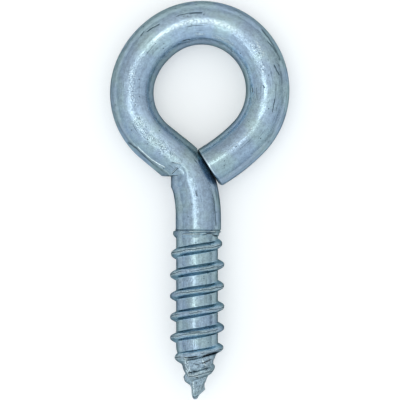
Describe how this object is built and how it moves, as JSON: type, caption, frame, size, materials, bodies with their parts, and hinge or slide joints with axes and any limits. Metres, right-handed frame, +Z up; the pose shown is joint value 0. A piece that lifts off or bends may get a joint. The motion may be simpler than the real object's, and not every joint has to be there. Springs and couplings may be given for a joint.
{
  "type": "eye screw",
  "caption": "Screw eye of bent round wire: an open ring with its free end butted against the neck, above a coarse tapered wood thread with a gimlet point.",
  "frame": {"origin": "bottom centre of the bounding box of the screw lying at rest on a flat surface", "axes": "+Y along the screw from the point to the eye, +X to the side that the free end of the wire comes back from, +Z up, away from the surface that the screw lies on"},
  "size_m": [0.0186, 0.0414, 0.0057],
  "materials": {
    "zinc_plated_steel": "bright zinc plate with a blue tint"
  },
  "bodies": {
    "root": {"eye_screw": "zinc_plated_steel"}
  },
  "joints": []
}
